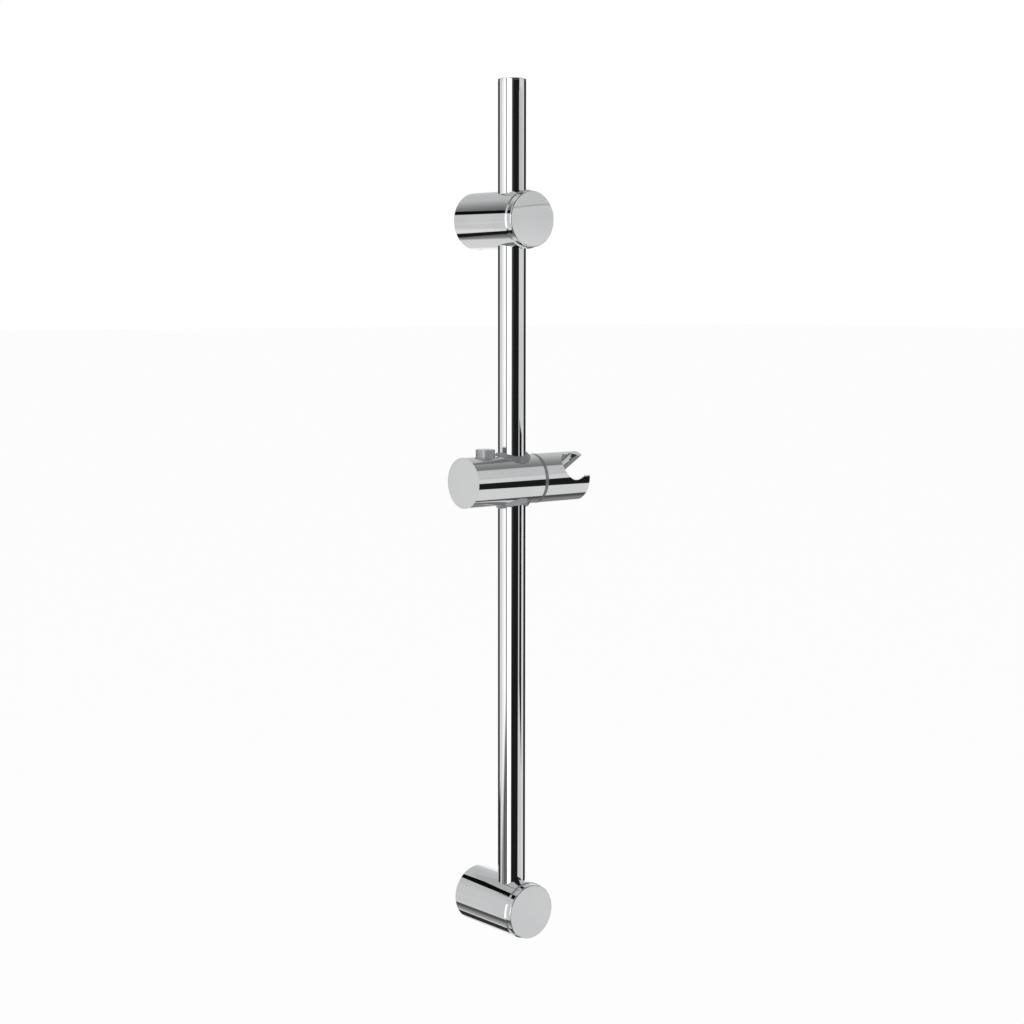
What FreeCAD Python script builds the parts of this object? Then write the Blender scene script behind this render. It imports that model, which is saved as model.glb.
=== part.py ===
import FreeCAD, Part
import math
import os

# Shower slide rail. The origin is the centre of the lower bracket's back, on the wall.
# +X is to the right, +Y goes into the wall and +Z is up. Millimetres and degrees.

# Rail tube and its top cap
rail_diameter = 22.0
rail_wall = 1.0
rail_rise = 108.5  # top of the rail above the upper bracket's axis
top_cap_height = 2.0
top_cap_plug = 12.0
top_cap_easing = 0.6
top_cap_seam = 0.3  # bevel that marks the joint with the tube

# Wall brackets
bracket_spacing = 550.0
wall_to_rail = 45.0
bracket_diameter = 45.2
bracket_wall = 3.3
bracket_chamfer = 1.1
rail_floor = 7.0  # metal left under the rail's lower end
socket_spare = 2.0  # depth of the wall socket past the plate
plate_depth = 14.0
wall_screw_hole = 5.5
wall_screw_head = 10.0
grub_diameter = 5.0
grub_from_wall = 7.0
grub_sink = 0.5
grub_key = 2.5
grub_key_depth = 2.0
clamp_diameter = 8.0
clamp_pad_thickness = 2.0
clamp_screw_length = 4.0
clamp_key = 4.0
clamp_key_depth = 2.5

# Front caps of the brackets
cap_diameter = 43.4
cap_thickness = 5.1
cap_rounding = 0.9
cap_spigot_diameter = 30.0
cap_spigot_length = 3.0

# Slider barrel
slider_height = 346.0  # above the lower bracket's axis
slider_diameter = 40.0
slider_wall = 3.0
slider_web = 3.1  # right-hand wall that carries the holder
rim_width = 1.05  # ring of the barrel that shows round the end cap
end_cap_thickness = 2.5

# Guide bushes
bush_wall = 1.64
bush_flange = 2.1  # width of the saddle flange past the sleeve
bush_proud = 2.2  # height of the saddle above the barrel
bush_easing = 2.0

# Release button, brake shoe and brake spring
button_diameter = 15.2
button_from_rail = 26.6
button_proud = 5.5
button_easing = 0.4
button_flange = 1.2
button_flange_thickness = 1.5
stem_width = 8.0
stem_thickness = 8.0
stem_tip = 1.0
ramp_ratio = 0.5  # travel of the shoe for each millimetre of the button
release_room = 2.0
shoe_top = 7.5
shoe_back = 6.4
nose_length = 2.95
nose_width = 14.0
spring_length = 9.0
spring_diameter = 10.0
spring_wire = 1.0
spring_turns = 2.0
spring_flats = 4
spring_boss = 2.0

# Handset holder and its pivot
ring_thickness = 3.2
ring_sink = 0.2  # step of the friction ring below the barrels
pivot_boss_diameter = 23.0
pivot_diameter = 6.0
pivot_reach = 12.0  # thread in the holder
pivot_head_diameter = 9.0
pivot_head_height = 2.5
pivot_head_gap = 0.9  # between the rail and the screw head
pivot_key = 4.0
pivot_key_depth = 1.5
washer_diameter = 13.0
washer_thickness = 0.6
washer_height = 1.1
seat_setback = 29.8  # from the friction ring to the seat's axis
seat_to_end = 13.9
seat_diameter = 24.0
seat_foot_diameter = 20.5
seat_rise = 33.0  # angle of the seat's axis above the horizontal
seat_slot = 18.0
holder_easing = 0.6

# Clearances
running = 0.05
sliding = 0.1
seating = 0.03
bush_space = 0.5  # above and below the screw head and the brake shoe's nose
tight = 1e-4  # within which two places are the same

# Derived sizes of the brackets
rail_radius = rail_diameter / 2
rail_bore = rail_radius + running
bracket_radius = bracket_diameter / 2
socket_radius = bracket_radius - bracket_wall
socket_depth = plate_depth + socket_spare
plate_radius = socket_radius - running
grub_radius = grub_diameter / 2
clamp_radius = clamp_diameter / 2
cap_radius = cap_diameter / 2
cap_recess_radius = cap_spigot_diameter / 2 + seating
clamp_seat = wall_to_rail + rail_radius + clamp_pad_thickness
recess_floor = clamp_seat + clamp_screw_length
barrel_length = recess_floor + cap_spigot_length
rail_bottom = rail_floor - bracket_radius
rail_top = bracket_spacing + rail_rise
rail_end = rail_top - top_cap_height

# Derived sizes of the slider, measured from its own centre on the rail's axis
slider_radius = slider_diameter / 2
slider_bore = slider_radius - slider_wall
bush_radius = rail_radius + running + bush_wall
bush_hole = bush_radius + seating
bush_gap = pivot_head_diameter / 2 + bush_space
head_left = rail_radius + pivot_head_gap
head_right = head_left + pivot_head_height
web_left = head_right + washer_height
slider_right = web_left + slider_web
ring_right = slider_right + ring_thickness
seat_x = ring_right + seat_setback
holder_right = seat_x + seat_to_end
shoe_right = -(rail_radius + running + nose_length)
button_x = -button_from_rail
stem_right = button_x + stem_width / 2
stem_left = button_x - stem_width / 2
shoe_left = stem_left - shoe_back
spring_seat = shoe_left - spring_length
slider_left = spring_seat - end_cap_thickness
end_cap_radius = slider_radius - rim_width
button_radius = button_diameter / 2
button_top = slider_radius + button_proud
flange_radius = button_radius + button_flange
flange_top = math.sqrt(slider_bore**2 - flange_radius**2) - sliding
flange_bottom = flange_top - button_flange_thickness
ramp_height = (stem_width - stem_tip) / ramp_ratio
pivot_radius = pivot_diameter / 2

origin = FreeCAD.Vector(0, 0, 0)
right = FreeCAD.Vector(1, 0, 0)
room = FreeCAD.Vector(0, -1, 0)
up = FreeCAD.Vector(0, 0, 1)
slider_centre = FreeCAD.Vector(0, -wall_to_rail, slider_height)


def turned(profile, axis):
    """Solid of revolution of (radius, height) corners about an axis through the origin."""
    across = FreeCAD.Vector(axis.z, axis.x, axis.y)
    corners = [across * radius + axis * height for radius, height in profile]
    return Part.Face(Part.makePolygon(corners + corners[:1])).revolve(origin, axis, 360)


def rod(radius, start, end):
    return Part.makeCylinder(radius, (end - start).Length, start, end - start)


def prism(corners, depth):
    """Flat outline pushed along a vector."""
    return Part.Face(Part.makePolygon(corners + corners[:1])).extrude(depth)


def hex_socket(across_flats, mouth, inward, depth):
    """Hexagonal key recess, opening at mouth and going inward."""
    first = FreeCAD.Vector(inward.y, inward.z, inward.x)
    second = inward.cross(first)
    radius = across_flats / math.sqrt(3)
    corners = []
    for side in range(6):
        turn = math.radians(60 * side)
        corners.append(mouth + first * (radius * math.cos(turn)) + second * (radius * math.sin(turn)))
    return prism(corners, inward * depth)


def rail_line(radius):
    """Long rod on the rail's axis, for cutting bores."""
    foot = FreeCAD.Vector(0, -wall_to_rail, -rail_top)
    return rod(radius, foot, foot + up * (3 * rail_top))


def rail_tube():
    foot = FreeCAD.Vector(0, -wall_to_rail, rail_bottom)
    head = FreeCAD.Vector(0, -wall_to_rail, rail_end)
    return rod(rail_radius, foot, head).cut(rod(rail_radius - rail_wall, foot, head))


def rail_top_cap():
    """Plug with a thin eased flange that finishes the tube."""
    plug_radius = rail_radius - rail_wall - seating
    plug_foot = rail_end - top_cap_plug
    profile = [
        (0, rail_top),
        (rail_radius - top_cap_easing, rail_top),
        (rail_radius, rail_top - top_cap_easing),
        (rail_radius, rail_end + top_cap_seam),
        (rail_radius - top_cap_seam, rail_end),
        (plug_radius, rail_end),
        (plug_radius, plug_foot),
        (0, plug_foot),
    ]
    return turned(profile, up).translated(FreeCAD.Vector(0, -wall_to_rail, 0))


def bracket_barrel(bore):
    """Barrel with a wall socket behind, the rail's bore across it and a cap recess in front."""
    profile = [
        (socket_radius, 0),
        (bracket_radius, 0),
        (bracket_radius, barrel_length - bracket_chamfer),
        (bracket_radius - bracket_chamfer, barrel_length),
        (cap_recess_radius, barrel_length),
        (cap_recess_radius, recess_floor),
        (0, recess_floor),
        (0, socket_depth),
        (socket_radius, socket_depth),
    ]
    clamp_hole = rod(clamp_radius, room * wall_to_rail, room * recess_floor)
    grub_line = room * grub_from_wall
    grub_hole = rod(grub_radius, grub_line, grub_line - up * bracket_diameter)
    return turned(profile, room).cut([bore, clamp_hole, grub_hole])


def lower_bracket_barrel():
    """The lower bore is blind: the rail stands on its floor."""
    floor = FreeCAD.Vector(0, -wall_to_rail, rail_bottom)
    return bracket_barrel(rod(rail_bore, floor, floor + up * bracket_diameter))


def upper_bracket_barrel():
    return bracket_barrel(rail_line(rail_bore))


def front_cap():
    """Disc that hides the clamp screw, with a spigot that pushes into the barrel."""
    front = barrel_length + cap_thickness
    spigot_radius = cap_spigot_diameter / 2
    spigot_foot = barrel_length - cap_spigot_length
    profile = [
        (0, front),
        (cap_radius, front),
        (cap_radius, barrel_length),
        (spigot_radius, barrel_length),
        (spigot_radius, spigot_foot),
        (0, spigot_foot),
    ]
    cap = turned(profile, room)
    rim = [edge for edge in cap.Edges if edge.BoundBox.YMax < tight - front]
    return cap.makeFillet(cap_rounding, rim)


def wall_plate():
    """Boss that a countersunk screw holds to the wall, and that the barrel slips over."""
    hole = wall_screw_hole / 2
    head = wall_screw_head / 2
    profile = [
        (hole, 0),
        (plate_radius, 0),
        (plate_radius, plate_depth),
        (head, plate_depth),
        (hole, plate_depth - head + hole),
    ]
    return turned(profile, room)


def grub_screw():
    """Set screw under the barrel that grips the wall plate."""
    head = room * grub_from_wall - up * (bracket_radius - grub_sink)
    screw = rod(grub_radius - running, room * grub_from_wall - up * plate_radius, head)
    return screw.cut(hex_socket(grub_key, head, up, grub_key_depth))


def clamp_pad():
    """Plastic pad, hollowed to the rail's curve."""
    pad = rod(clamp_radius - running, room * wall_to_rail, room * clamp_seat)
    return pad.cut(rail_line(rail_bore))


def clamp_screw():
    screw = rod(clamp_radius - running, room * clamp_seat, room * recess_floor)
    return screw.cut(hex_socket(clamp_key, room * recess_floor, -room, clamp_key_depth))


def slider_body():
    """Cup-shaped barrel: open to the left, with a web on the right that carries the holder."""
    profile = [
        (end_cap_radius + seating, slider_left),
        (slider_radius, slider_left),
        (slider_radius, slider_right),
        (pivot_radius, slider_right),
        (pivot_radius, web_left),
        (slider_bore, web_left),
        (slider_bore, spring_seat),
        (end_cap_radius + seating, spring_seat),
    ]
    bush_bore = rod(bush_hole, -up * slider_diameter, up * slider_diameter)
    foot = right * button_x
    button_hole = rod(button_radius + sliding, foot, foot + up * slider_diameter)
    return turned(profile, right).cut([bush_bore, button_hole])


def slider_end_cap():
    """Flat disc let into the barrel, with a boss that centres the spring."""
    boss_radius = spring_diameter / 2 - spring_wire - sliding
    profile = [
        (0, slider_left),
        (end_cap_radius, slider_left),
        (end_cap_radius, spring_seat),
        (boss_radius, spring_seat),
        (boss_radius, spring_seat + spring_boss),
        (0, spring_seat + spring_boss),
    ]
    return turned(profile, right)


def guide_bush():
    """Sleeve on the rail with an eased flange that is saddled to the barrel."""
    flange_edge = bush_radius + bush_flange
    saddle_radius = slider_radius + bush_proud
    barrel = rod(slider_radius, -right * slider_diameter, right * slider_diameter)
    saddle = rod(saddle_radius, -right * slider_diameter, right * slider_diameter)
    flange = rod(flange_edge, origin, up * slider_diameter).common(saddle).cut(barrel)
    sleeve = rod(bush_radius, up * bush_gap, up * slider_diameter).common(saddle)
    bush = flange.fuse(sleeve).cut(rod(rail_bore, origin, up * slider_diameter)).removeSplitter()
    rim = []
    for edge in bush.Edges:
        points = edge.discretize(7)
        on_saddle = all(abs(math.hypot(point.y, point.z) - saddle_radius) < tight for point in points)
        on_flange = all(abs(math.hypot(point.x, point.y) - flange_edge) < tight for point in points)
        if on_saddle and on_flange:
            rim.append(edge)
    return bush.makeChamfer(bush_easing, rim)


def release_button():
    """Push button with a retaining flange inside the barrel and a wedge below it."""
    profile = [
        (0, flange_bottom),
        (flange_radius, flange_bottom),
        (flange_radius, flange_top),
        (button_radius, flange_top),
        (button_radius, button_top - button_easing),
        (button_radius - button_easing, button_top),
        (0, button_top),
    ]
    button = turned(profile, up).translated(right * button_x)
    stem_bottom = shoe_top - ramp_height
    half = FreeCAD.Vector(0, stem_thickness / 2, 0)
    corners = [
        FreeCAD.Vector(stem_right, 0, flange_bottom) - half,
        FreeCAD.Vector(stem_right, 0, stem_bottom) - half,
        FreeCAD.Vector(stem_right - stem_tip, 0, stem_bottom) - half,
        FreeCAD.Vector(stem_left, 0, shoe_top) - half,
        FreeCAD.Vector(stem_left, 0, flange_bottom) - half,
    ]
    stem = prism(corners, half * 2)
    return button.fuse(stem).removeSplitter()


def brake_shoe():
    """Sliding block whose nose grips the rail, slotted for the button's wedge."""
    block = rod(slider_bore - sliding, right * shoe_left, right * shoe_right)
    deep = slider_diameter
    crown = prism(
        [
            FreeCAD.Vector(shoe_left - deep, -deep, shoe_top),
            FreeCAD.Vector(shoe_right + deep, -deep, shoe_top),
            FreeCAD.Vector(shoe_right + deep, deep, shoe_top),
            FreeCAD.Vector(shoe_left - deep, deep, shoe_top),
        ],
        up * deep,
    )
    half = FreeCAD.Vector(0, stem_thickness / 2 + sliding, 0)
    ramp_left = stem_left - sliding
    slot = prism(
        [
            FreeCAD.Vector(ramp_left, 0, shoe_top) - half,
            FreeCAD.Vector(ramp_left + stem_width - stem_tip, 0, shoe_top - ramp_height) - half,
            FreeCAD.Vector(ramp_left + stem_width - stem_tip, 0, -deep) - half,
            FreeCAD.Vector(stem_right + release_room, 0, -deep) - half,
            FreeCAD.Vector(stem_right + release_room, 0, shoe_top) - half,
        ],
        half * 2,
    )
    block = block.cut([crown, slot])
    nose_height = 2 * (bush_gap - sliding)
    corner = FreeCAD.Vector(shoe_right, -nose_width / 2, -nose_height / 2)
    nose = Part.makeBox(-shoe_right, nose_width, nose_height, corner)
    rail = rod(rail_bore, -up * slider_diameter, up * slider_diameter)
    return block.fuse(nose.cut(rail)).removeSplitter()


def brake_spring():
    """Compression spring between the end cap and the shoe, its wire drawn with a few flats."""
    wire_radius = spring_wire / 2
    coil_radius = spring_diameter / 2 - wire_radius
    height = spring_length - spring_wire - 2 * seating
    pitch = height / spring_turns
    start = right * coil_radius
    along = FreeCAD.Vector(0, 2 * math.pi * coil_radius, pitch)
    across = right.cross(along / along.Length)
    corners = []
    for flat in range(spring_flats):
        turn = 2 * math.pi * (flat + 0.5) / spring_flats
        corners.append(start + right * (wire_radius * math.cos(turn)) + across * (wire_radius * math.sin(turn)))
    section = Part.makePolygon(corners + corners[:1])
    helix = Part.makeHelix(pitch, height, coil_radius)
    coil = Part.Wire(helix.Edges).makePipeShell([section], True, True)
    coil = coil.rotated(origin, -room, 90)
    return coil.translated(right * (spring_seat + wire_radius + seating))


def friction_ring():
    outer = slider_radius - ring_sink
    profile = [
        (pivot_boss_diameter / 2 + running, slider_right),
        (outer, slider_right),
        (outer, ring_right),
        (pivot_boss_diameter / 2 + running, ring_right),
    ]
    return turned(profile, right)


def handset_holder():
    """Short barrel with a slotted cone seat across it, turned up to the front."""
    profile = [
        (0, slider_right + pivot_reach),
        (pivot_radius, slider_right + pivot_reach),
        (pivot_radius, slider_right),
        (pivot_boss_diameter / 2, slider_right),
        (pivot_boss_diameter / 2, ring_right),
        (slider_radius, ring_right),
        (slider_radius, holder_right),
        (0, holder_right),
    ]
    reach = slider_diameter
    widening = (seat_diameter - seat_foot_diameter) / 2 * reach / slider_diameter
    middle = (seat_diameter + seat_foot_diameter) / 4
    foot = FreeCAD.Vector(seat_x, 0, -reach)
    cone = Part.makeCone(middle - widening, middle + widening, 2 * reach, foot, up)
    corner = FreeCAD.Vector(seat_x, -seat_slot / 2, -reach)
    slot = Part.makeBox(2 * seat_to_end, seat_slot, 2 * reach, corner)
    holder = turned(profile, right).cut(cone.fuse(slot))
    edges = [edge for edge in holder.Edges if edge.BoundBox.XMin > ring_right + seat_setback / 2]
    return holder.makeChamfer(holder_easing, edges).rotated(origin, right, 90 - seat_rise)


def pivot_screw():
    """Screw through the web, on which the holder turns."""
    radius = pivot_radius - running
    tip = slider_right + pivot_reach - sliding
    profile = [
        (0, head_left),
        (pivot_head_diameter / 2, head_left),
        (pivot_head_diameter / 2, head_right),
        (radius, head_right),
        (radius, tip),
        (0, tip),
    ]
    return turned(profile, right).cut(hex_socket(pivot_key, right * head_left, right, pivot_key_depth))


def spring_washer():
    """Coned washer under the screw head, which sets the holder's friction."""
    inner = pivot_radius + sliding
    profile = [
        (inner, head_right),
        (washer_diameter / 2, web_left - washer_thickness),
        (washer_diameter / 2, web_left),
        (inner, head_right + washer_thickness),
    ]
    return turned(profile, right)


pieces = {"rail_tube": rail_tube(), "rail_top_cap": rail_top_cap()}

bracket_pieces = {
    "front_cap": front_cap(),
    "wall_plate": wall_plate(),
    "grub_screw": grub_screw(),
    "clamp_pad": clamp_pad(),
    "clamp_screw": clamp_screw(),
}
pieces["lower_bracket_barrel"] = lower_bracket_barrel()
pieces["upper_bracket_barrel"] = upper_bracket_barrel().translated(up * bracket_spacing)
for name, shape in bracket_pieces.items():
    pieces["lower_" + name] = shape
    pieces["upper_" + name] = shape.translated(up * bracket_spacing)

slider_pieces = {
    "slider_body": slider_body(),
    "slider_end_cap": slider_end_cap(),
    "upper_guide_bush": guide_bush(),
    "lower_guide_bush": guide_bush().rotated(origin, right, 180),
    "release_button": release_button(),
    "brake_shoe": brake_shoe(),
    "brake_spring": brake_spring(),
    "friction_ring": friction_ring(),
    "handset_holder": handset_holder(),
    "pivot_screw": pivot_screw(),
    "spring_washer": spring_washer(),
}
for name, shape in slider_pieces.items():
    pieces[name] = shape.translated(slider_centre)

os.makedirs("parts", exist_ok=True)
for name, shape in pieces.items():
    shape.exportStep("parts/" + name + ".step")
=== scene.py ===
import bmesh
import bpy
import math
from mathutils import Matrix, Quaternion, Vector

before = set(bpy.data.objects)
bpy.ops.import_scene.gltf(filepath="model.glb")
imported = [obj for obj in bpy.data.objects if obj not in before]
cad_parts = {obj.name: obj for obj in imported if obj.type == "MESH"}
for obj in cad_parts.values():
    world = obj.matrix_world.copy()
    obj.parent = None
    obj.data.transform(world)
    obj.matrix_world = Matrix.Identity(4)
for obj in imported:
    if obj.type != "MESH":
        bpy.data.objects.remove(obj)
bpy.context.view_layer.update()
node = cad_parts


# Rail and top cap: a drawn steel tube and a turned plug pressed into its top, both polished and chromed.
# The chrome is a mirror with faint waves from polishing and a thin film of wiping marks.
class Shade:
    """A socket in a node tree. Python's operators add Math nodes to it, and add() adds any other node."""

    def __init__(self, tree, socket=None):
        self.tree = tree
        self.socket = socket

    def add(self, kind, settings=None, sockets=None, out=0):
        new = self.tree.nodes.new(kind)
        for name, value in (settings or {}).items():
            setattr(new, name, value)
        for key, value in (sockets or {}).items():
            if isinstance(value, Shade):
                self.tree.links.new(value.socket, new.inputs[key])
            else:
                new.inputs[key].default_value = value
        return Shade(self.tree, new.outputs[out])

    def math(self, operation, *values):
        return self.add("ShaderNodeMath", {"operation": operation}, dict(enumerate(values)))

    def __add__(self, other):
        return self.math("ADD", self, other)

    def __sub__(self, other):
        return self.math("SUBTRACT", self, other)

    def __rsub__(self, other):
        return self.math("SUBTRACT", other, self)

    def __mul__(self, other):
        return self.math("MULTIPLY", self, other)

    __radd__ = __add__
    __rmul__ = __mul__

    def step(self, start, end):
        """Soft step from 0 at start to 1 at end."""
        sockets = {"Value": self, "From Min": start, "From Max": end}
        return self.add("ShaderNodeMapRange", {"interpolation_type": "SMOOTHSTEP"}, sockets)

    def between(self, low, high, soft):
        """1 between low and high, falling to 0 over a soft edge on both sides."""
        return self.step(low - soft, low + soft) * (1 - self.step(high - soft, high + soft))

    def covered(self, mask, value):
        """This value, with another one laid over it where the mask is 1."""
        return self * (1 - mask) + value * mask


def noise(shade, scale, detail=2.0):
    """Soft noise that stays fixed to the piece."""
    spot = shade.add("ShaderNodeTexCoord", out="Object")
    return shade.add("ShaderNodeTexNoise", None, {"Vector": spot, "Scale": scale, "Detail": detail})


def blend(shade, mask, first, second):
    """Colour that goes from the first to the second with a mask."""
    sockets = {"Factor": mask, 6: (*first, 1.0), 7: (*second, 1.0)}
    return shade.add("ShaderNodeMix", {"data_type": "RGBA"}, sockets, 2)


def finish(name, colour, roughness, relief=None, height=0.0, **constants):
    """Material with a varying colour and roughness, and a relief of some height where one is given."""
    material = bpy.data.materials.new(name)
    material.use_nodes = True
    tree = material.node_tree
    shader = tree.nodes["Principled BSDF"]
    for socket, value in constants.items():
        shader.inputs[socket].default_value = value
    shade = Shade(tree)
    tree.links.new(colour(shade).socket, shader.inputs["Base Color"])
    tree.links.new(roughness(shade).socket, shader.inputs["Roughness"])
    if relief:
        sockets = {"Height": relief(shade), "Distance": height, "Strength": 1.0}
        tree.links.new(shade.add("ShaderNodeBump", None, sockets).socket, shader.inputs["Normal"])
    return material


chrome = finish(
    "polished_chrome",
    lambda shade: blend(
        shade, noise(shade, 30.0).step(0.35, 0.65), (0.85, 0.86, 0.87), (0.88, 0.885, 0.89)
    ),
    lambda shade: 0.008 + 0.022 * noise(shade, 90.0, 4.0).step(0.45, 0.75),
    lambda shade: noise(shade, 22.0, 0.0),
    0.00004,
    Metallic=1.0,
)
for name in ("rail_tube", "rail_top_cap"):
    node[name].material_slots[0].material = chrome


# Brackets: turned chromed barrels with pressed-on front caps. Behind each one a zinc casting is screwed to
# the wall, a steel grub screw locks the barrel to it, and a steel screw with a nylon pad grips the rail.
zinc = finish(
    "zinc_casting",
    lambda shade: blend(
        shade, noise(shade, 260.0, 4.0).step(0.35, 0.7), (0.40, 0.41, 0.42), (0.52, 0.53, 0.54)
    ),
    lambda shade: 0.42 + 0.16 * noise(shade, 180.0, 3.0),
    lambda shade: noise(shade, 900.0, 3.0),
    0.00003,
    Metallic=0.85,
)
steel = finish(
    "bright_steel",
    lambda shade: blend(
        shade, noise(shade, 400.0, 3.0).step(0.3, 0.7), (0.55, 0.55, 0.54), (0.66, 0.66, 0.65)
    ),
    lambda shade: 0.24 + 0.14 * noise(shade, 700.0, 3.0),
    lambda shade: noise(shade, 1500.0, 2.0),
    0.00001,
    Metallic=1.0,
)
nylon = finish(
    "white_nylon",
    lambda shade: blend(
        shade, noise(shade, 150.0, 3.0).step(0.3, 0.7), (0.72, 0.71, 0.67), (0.80, 0.79, 0.76)
    ),
    lambda shade: 0.40 + 0.12 * noise(shade, 500.0, 3.0),
    lambda shade: noise(shade, 1200.0, 2.0),
    0.00002,
)
for side in ("lower_", "upper_"):
    node[side + "bracket_barrel"].material_slots[0].material = chrome
    node[side + "front_cap"].material_slots[0].material = chrome
    node[side + "wall_plate"].material_slots[0].material = zinc
    node[side + "grub_screw"].material_slots[0].material = steel
    node[side + "clamp_screw"].material_slots[0].material = steel
    node[side + "clamp_pad"].material_slots[0].material = nylon


# Slider: a chromed barrel with a flat disc let into its end, on two grey bushes that are saddled to it.
# Bushes, button and friction ring are moulded in grey acetal. Both bushes are of one plastic; the lower one
# gets the button's lighter grey as painted light from below.
def acetal(name, dark, pale):
    """Satin grey plastic that drifts between two close shades."""
    return finish(
        name,
        lambda shade: blend(shade, noise(shade, 320.0, 4.0).step(0.3, 0.7), dark, pale),
        lambda shade: 0.17 + 0.07 * noise(shade, 900.0, 3.0),
        lambda shade: noise(shade, 600.0, 2.0),
        0.000001,
        Metallic=0.25,
    )


node["slider_body"].material_slots[0].material = chrome
node["slider_end_cap"].material_slots[0].material = chrome
dark_grey = acetal("dark_grey_acetal", (0.226, 0.235, 0.246), (0.236, 0.245, 0.257))
for name in ("upper_guide_bush", "friction_ring"):
    node[name].material_slots[0].material = dark_grey
# The lower bush shares the button's lighter grey: painted light from below, not a paler plastic.
button_grey_and_lit_bush = acetal("grey_acetal", (0.381, 0.393, 0.409), (0.393, 0.405, 0.421))
for name in ("release_button", "lower_guide_bush"):
    node[name].material_slots[0].material = button_grey_and_lit_bush
node["brake_shoe"].material_slots[0].material = nylon
node["brake_spring"].material_slots[0].material = steel


# Handset holder: a chromed casting, slotted for the handset's cone, that turns on a steel screw.
# A coned steel washer under the screw head keeps it stiff.
node["handset_holder"].material_slots[0].material = chrome
node["pivot_screw"].material_slots[0].material = steel
node["spring_washer"].material_slots[0].material = steel


# Floor: a wide pale sheet below the rail, nearly white to the camera, which still takes a soft shadow.
# The mirror finish doesn't see it, so that the bands of the studio run down the whole rail.
floor_level = -0.25
floor_reach = 40.0
white_share = 0.96


def plane(name, corners, material):
    """Flat four-sided sheet through its corners."""
    sheet = bmesh.new()
    sheet.faces.new([sheet.verts.new(corner) for corner in corners])
    mesh = bpy.data.meshes.new(name)
    sheet.to_mesh(mesh)
    sheet.free()
    mesh.materials.append(material)
    thing = bpy.data.objects.new(name, mesh)
    bpy.context.scene.collection.objects.link(thing)
    return thing


pale = bpy.data.materials.new("pale_floor")
pale.use_nodes = True
pale.node_tree.nodes.clear()
shade = Shade(pale.node_tree)
matt = shade.add("ShaderNodeBsdfDiffuse", None, {"Color": (0.9, 0.9, 0.9, 1.0)})
white = shade.add("ShaderNodeEmission", None, {"Color": (1.0, 1.0, 1.0, 1.0), "Strength": 1.0})
seen = white_share * shade.add("ShaderNodeLightPath", out="Is Camera Ray")
surface = shade.add("ShaderNodeMixShader", None, {0: seen, 1: matt, 2: white})
output = pale.node_tree.nodes.new("ShaderNodeOutputMaterial")
pale.node_tree.links.new(surface.socket, output.inputs["Surface"])
corners = [(x * floor_reach, y * floor_reach, floor_level) for x, y in ((-1, -1), (1, -1), (1, 1), (-1, 1))]
floor = plane("floor", corners, pale)
floor.visible_glossy = False


# Studio cards: black bars and grey sheets behind the rail and in front on the right, which the chrome
# mirrors as bands. The camera doesn't see them, and they cast no shadow.
def card(name, corners, level):
    """Sheet for the mirror finish alone. Its level is a number, or a function that varies it."""
    material = bpy.data.materials.new(name)
    material.use_nodes = True
    tree = material.node_tree
    tree.nodes.clear()
    shade = Shade(tree)
    colour = level(shade) if callable(level) else (level, level, level, 1.0)
    glow = shade.add("ShaderNodeEmission", None, {"Color": colour, "Strength": 1.0})
    output = tree.nodes.new("ShaderNodeOutputMaterial")
    tree.links.new(glow.socket, output.inputs["Surface"])
    thing = plane(name, corners, material)
    thing.visible_camera = False
    thing.visible_diffuse = False
    thing.visible_shadow = False


def upright(left, right, y, low, high):
    """Corners of an upright sheet that is parallel to the wall."""
    return [(left, y, low), (right, y, low), (right, y, high), (left, y, high)]


def place(shade, axis):
    """Coordinate along one axis."""
    spot = shade.add("ShaderNodeTexCoord", out="Object")
    return shade.add("ShaderNodeSeparateXYZ", None, {0: spot}, axis)


def graded(shade):
    """Grey that brightens to the right, with a paler lower corner there."""
    grey = 0.12 + 0.43 * place(shade, "X").step(-1.2, 0.1)
    corner = place(shade, "X").step(-0.62, -0.52) * (1 - place(shade, "Z").step(1.38, 1.44))
    return grey.covered(corner, 0.46)


back_y = 1.465
back_left = -1.7
back_step = -0.87
back_edge = 1.30
card("high_bar", upright(back_step, -0.30, back_y, 1.11, back_edge), 0.004)
card("far_bar", upright(back_left, back_step, back_y, 1.06, back_edge), 0.004)
card("high_sheet", upright(back_left, 0.45, back_y, back_edge, 2.0), graded)
card("low_bar", upright(-1.0, -0.45, back_y, -0.52, -0.34), 0.01)
card("foot_bar", upright(-0.12, 0.60, back_y, -1.50, -1.15), 0.03)

front_turn = math.radians(38.8)
front_away = 1.05
outward = Vector((math.sin(front_turn), -math.cos(front_turn), 0.0))
across = Vector((math.cos(front_turn), math.sin(front_turn), 0.0))
rail_axis = Vector((0.0, -0.045, 0.0))
middle = rail_axis + outward * front_away


def facing(outline):
    """Corners of a sheet in front on the right, from distances across and levels."""
    return [middle + across * side + Vector((0.0, 0.0, level)) for side, level in outline]


card("front_card", facing([(-0.22, -0.02), (0.22, -0.15), (0.22, 0.31), (-0.22, 0.33)]), 0.012)
card("front_sheet", facing([(-0.35, 0.579), (0.35, 0.635), (0.35, 0.76), (-0.35, 0.76)]), 0.575)
card("sheet_hem", facing([(-0.35, 0.577), (0.35, 0.633), (0.35, 0.635), (-0.35, 0.579)]), 0.44)


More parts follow.
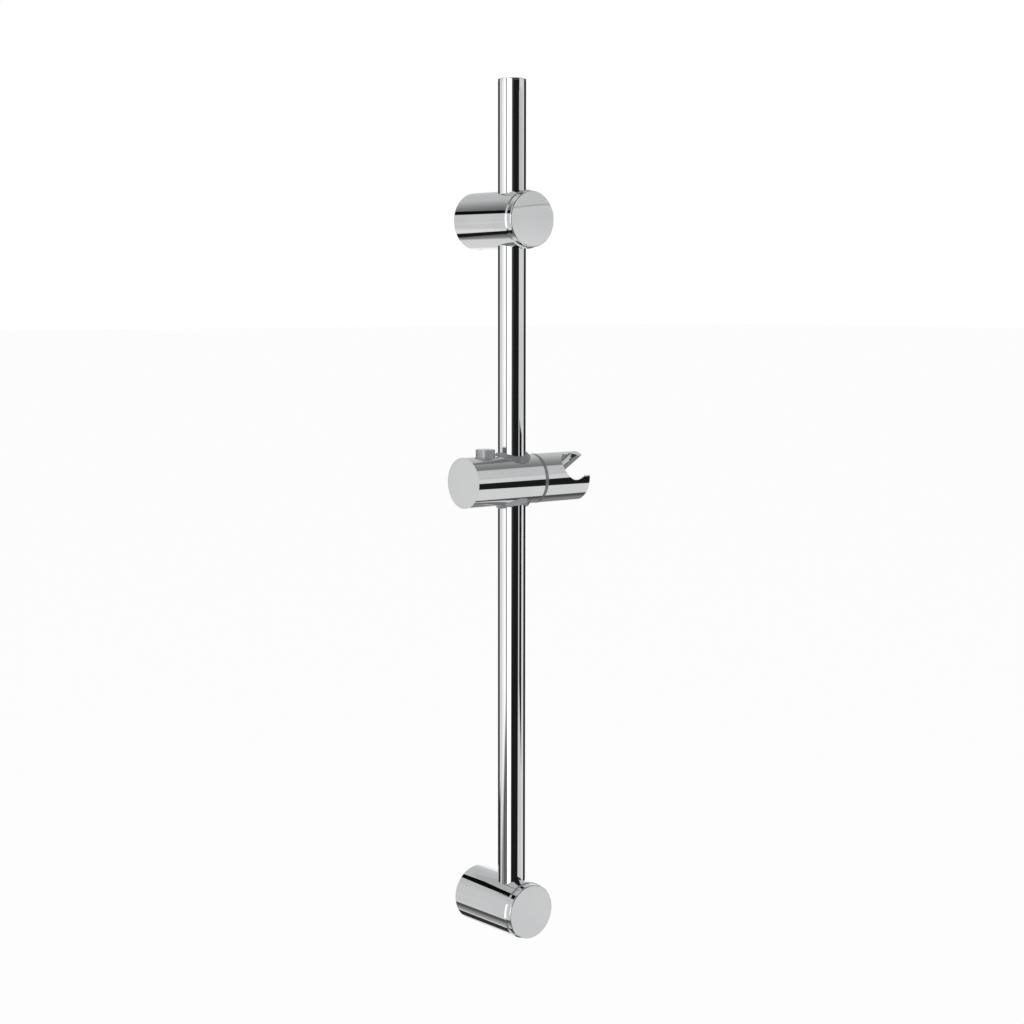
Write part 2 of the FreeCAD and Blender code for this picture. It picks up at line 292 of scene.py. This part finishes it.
# Studio walls: light grey panels with a dark room on the camera's side, told apart by direction: turn goes
# round the rail and lift goes up, both in degrees. The camera itself sees plain white.
world = bpy.data.worlds.new("studio")
bpy.context.scene.world = world
world.use_nodes = True
tree = world.node_tree
tree.nodes.clear()
shade = Shade(tree)
heading = shade.add("ShaderNodeTexCoord", out="Generated")
east = shade.add("ShaderNodeSeparateXYZ", None, {0: heading}, "X")
north = shade.add("ShaderNodeSeparateXYZ", None, {0: heading}, "Y")
rise = shade.add("ShaderNodeSeparateXYZ", None, {0: heading}, "Z")
turn = shade.math("ARCTAN2", east, 0 - north) * math.degrees(1)
lift = shade.math("ARCSINE", rise) * math.degrees(1)
wall = lift.between(-26, 15, 1.5)

light = 0.70 - 0.16 * lift.step(0, 40)
light = light.covered(lift.step(41, 43), 0.20 + 0.35 * north.step(-0.45, 0.65))
over = east.between(-0.42, -0.07, 0.05) * north.between(-0.14, 0.62, 0.06) * lift.step(46, 52)
light = light.covered(over, 0.95)
under = (1 - lift.step(-24, -20)) * north.between(-0.06, 0.63, 0.03)
light = light.covered(under, 0.07 + 0.17 * north.step(0.0, 0.4))
low_back = (1 - lift.step(-29, -27)) * north.step(0.60, 0.66) * (1 - east.step(-0.16, -0.06))
light = light.covered(low_back, 0.48 - 0.40 * lift.step(-44, -31))
low_left = (1 - lift.step(-34, -28)) * (1 - east.step(-0.35, -0.15)) * (1 - north.step(0.45, 0.6))
light = light.covered(low_left, 0.20)

left = 0.80 + 0.35 * turn.step(-132, -100) - 0.17 * turn.between(-147, -136, 2)
left = left + 0.15 * (1 - turn.step(-149, -145)) * lift.step(-20, -17)
left = left + 0.045 * turn.between(-143, -139, 1) * lift.between(-8.5, -4, 1)
slanted = turn.step(-134, -128) * (turn - 9.1 * lift).step(10, 27)
left = left.covered(slanted, 0.28 - 0.16 * turn.step(-115, -100))
light = light.covered(turn.between(-154, -89, 1.5) * wall, left)
grey_strip = turn.between(-89, -75, 1.5) * wall
light = light.covered(grey_strip, 0.38 - 0.28 * (1 - lift.step(-14, -11)))
bright_strip = turn.between(-75, -42, 2.0) * wall
light = light.covered(bright_strip, 3.2 - 1.9 * turn.step(-68, -58))

right = 0.66 + 0.05 * lift.step(-2, 1) - 0.13 * lift.step(5, 28) - 0.09 * lift.between(1.9, 2.9, 0.5)
right = right + 0.12 * turn.step(46, 54) * (1 - lift.step(-6, -2))
light = light.covered(turn.between(16, 76, 2) * lift.between(-20, 40, 1), right)
front = (turn - 0.27 * lift).step(-45, -36) * (1 - (turn - 0.4 * lift).step(19.5, 22.5))
haze = 0.012 + 0.055 * (1 - turn.step(-42, -18)) * lift.step(-12, -4)
light = light.covered(front * lift.between(-40, 44, 2), haze)

far_right = turn.between(76, 130, 2) * lift.between(-25, 11, 2)
light = light.covered(far_right, 0.02)
window = turn.between(130, 150, 2) * lift.between(-25, 14, 2)
light = light.covered(window, 0.95)
behind = turn.step(148, 152) + (1 - turn.step(-158, -154))
light = light.covered(behind * lift.between(-20, 12, 2), 0.05)

seen = shade.add("ShaderNodeLightPath", out="Is Camera Ray")
sockets = {"Color": light.covered(seen, 1.0), "Strength": 1.0}
backdrop = shade.add("ShaderNodeBackground", None, sockets)
output = tree.nodes.new("ShaderNodeOutputWorld")
tree.links.new(backdrop.socket, output.inputs["Surface"])


# Lamp: one large softbox above the camera's left. It lights the plastics and the floor, and is kept out of
# the mirror finish.
rail_middle = rail_axis + Vector((0.0, 0.0, 0.32))
softbox = bpy.data.lights.new("softbox", "AREA")
softbox.shape = "SQUARE"
softbox.size = 1.2
softbox.energy = 24.0
lamp = bpy.data.objects.new("softbox", softbox)
bpy.context.scene.collection.objects.link(lamp)
lamp.location = (-1.3, -1.5, 1.7)
lamp.rotation_euler = (rail_middle - lamp.location).to_track_quat("-Z", "Y").to_euler()
lamp.visible_glossy = False


# Camera: at the photograph's angle, from the left and a little above the slider. Its place and lens were
# fitted to the outlines of the rail, the brackets and the slider.
roll = math.radians(0.05)
camera = bpy.data.cameras.new("camera")
camera.lens = 69.74
camera.sensor_width = 36.0
eye = bpy.data.objects.new("camera", camera)
bpy.context.scene.collection.objects.link(eye)
eye.location = (-0.9895, -1.2595, 0.4897)
aim = Vector((0.6281, 0.7707, -0.1075)).to_track_quat("-Z", "Y")
eye.rotation_euler = (aim @ Quaternion((0.0, 0.0, 1.0), roll)).to_euler()
bpy.context.scene.camera = eye
bpy.context.scene.view_settings.view_transform = "Standard"
